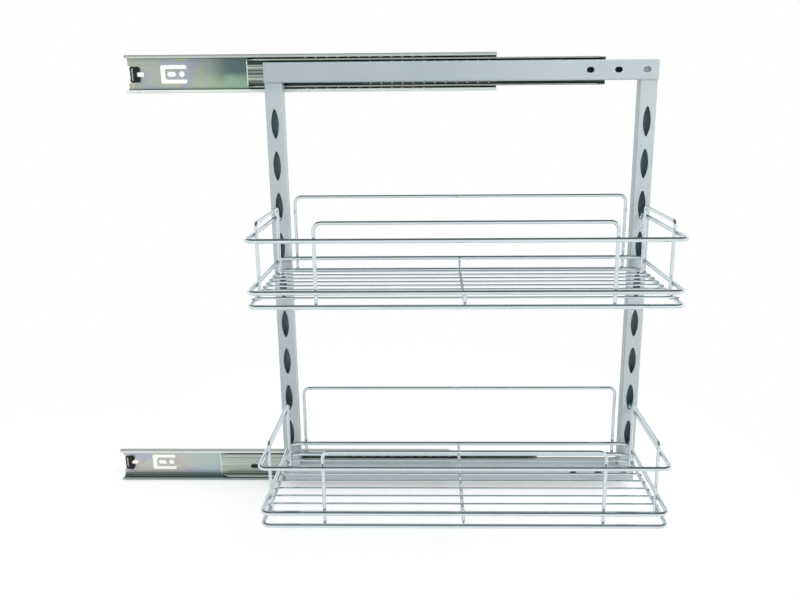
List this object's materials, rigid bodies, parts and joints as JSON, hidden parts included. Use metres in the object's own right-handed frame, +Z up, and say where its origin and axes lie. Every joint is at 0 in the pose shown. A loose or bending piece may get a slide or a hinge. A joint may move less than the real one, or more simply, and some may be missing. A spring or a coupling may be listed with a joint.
{
  "type": "pull-out shelf",
  "caption": "Pull-out shelf with wire baskets hooked into a slotted steel frame on full-extension ball slides.",
  "frame": {"origin": "middle of the upper cabinet member's back face, on the cabinet's wall", "axes": "+X the way the shelf pulls out, +Y out of the back face into the cabinet's wall, +Z up"},
  "size_m": [0.6945, 0.2152, 0.562],
  "materials": {
    "frame_paint": "satin pale blue-grey powder coat",
    "basket_chrome": "bright chrome plate on steel wire",
    "slide_zinc": "zinc plate with a faint yellow and violet tint",
    "cage_zinc": "plain zinc plate",
    "ball_steel": "polished steel",
    "fastener_zinc": "bright zinc plate",
    "black_plastic": "matt black moulded plastic"
  },
  "bodies": {
    "upper_wall": {"upper_cabinet_member": "slide_zinc", "upper_rear_stop": "black_plastic"},
    "upper_outer_balls_and_cage": {"upper_outer_cage": "cage_zinc", "upper_outer_balls": "ball_steel"},
    "upper_middle": {"upper_middle_member": "slide_zinc", "upper_latch": "black_plastic", "upper_latch_rivet": "fastener_zinc"},
    "upper_inner_balls_and_cage": {"upper_inner_cage": "cage_zinc", "upper_inner_balls": "ball_steel"},
    "shelf": {"top_rail": "frame_paint", "bottom_rail": "frame_paint", "left_post": "frame_paint", "right_post": "frame_paint", "top_backing_strip": "frame_paint", "bottom_backing_strip": "frame_paint", "slide_screws": "fastener_zinc", "slide_nuts": "fastener_zinc", "upper_inner_member": "slide_zinc", "lower_inner_member": "slide_zinc", "upper_rim": "basket_chrome", "upper_middle_ring": "basket_chrome", "upper_base_ring": "basket_chrome", "upper_front_guard": "basket_chrome", "upper_back_guard": "basket_chrome", "upper_left_guard": "basket_chrome", "upper_right_guard": "basket_chrome", "upper_floor_wires": "basket_chrome", "upper_cross_wire": "basket_chrome", "lower_rim": "basket_chrome", "lower_middle_ring": "basket_chrome", "lower_base_ring": "basket_chrome", "lower_front_guard": "basket_chrome", "lower_back_guard": "basket_chrome", "lower_left_guard": "basket_chrome", "lower_right_guard": "basket_chrome", "lower_floor_wires": "basket_chrome", "lower_cross_wire": "basket_chrome"},
    "lower_inner_balls_and_cage": {"lower_inner_cage": "cage_zinc", "lower_inner_balls": "ball_steel"},
    "lower_middle": {"lower_middle_member": "slide_zinc", "lower_latch": "black_plastic", "lower_latch_rivet": "fastener_zinc"},
    "lower_outer_balls_and_cage": {"lower_outer_cage": "cage_zinc", "lower_outer_balls": "ball_steel"},
    "lower_wall": {"lower_cabinet_member": "slide_zinc", "lower_rear_stop": "black_plastic"}
  },
  "joints": [
    {"name": "upper_stage_one", "type": "slide", "parent": "upper_wall", "child": "upper_middle", "axis": [1, 0, 0], "range_m": [-0.13155, 0.09345]},
    {"name": "upper_outer_cage_roll", "type": "slide", "parent": "upper_wall", "child": "upper_outer_balls_and_cage", "axis": [1, 0, 0], "range_m": [-0.06578, 0.04673]},
    {"name": "upper_stage_two", "type": "slide", "parent": "upper_middle", "child": "shelf", "axis": [1, 0, 0], "range_m": [-0.03925, 0.18575]},
    {"name": "upper_inner_cage_roll", "type": "slide", "parent": "upper_middle", "child": "upper_inner_balls_and_cage", "axis": [1, 0, 0], "range_m": [-0.01963, 0.09287]},
    {"name": "lower_stage_two", "type": "slide", "parent": "shelf", "child": "lower_middle", "axis": [-1, 0, 0], "range_m": [-0.10725, 0.11775]},
    {"name": "lower_inner_cage_roll", "type": "slide", "parent": "shelf", "child": "lower_inner_balls_and_cage", "axis": [-1, 0, 0], "range_m": [-0.05362, 0.05887]},
    {"name": "lower_stage_one", "type": "slide", "parent": "lower_middle", "child": "lower_wall", "axis": [-1, 0, 0], "range_m": [-0.12005, 0.10495]},
    {"name": "lower_outer_cage_roll", "type": "slide", "parent": "lower_middle", "child": "lower_outer_balls_and_cage", "axis": [-1, 0, 0], "range_m": [-0.06003, 0.05248]}
  ],
  "couplings": [
    {"joint": "upper_outer_cage_roll", "follows": "upper_stage_one", "ratio": 0.5},
    {"joint": "upper_inner_cage_roll", "follows": "upper_stage_two", "ratio": 0.5},
    {"joint": "lower_inner_cage_roll", "follows": "lower_stage_two", "ratio": 0.5},
    {"joint": "lower_outer_cage_roll", "follows": "lower_stage_one", "ratio": 0.5}
  ]
}
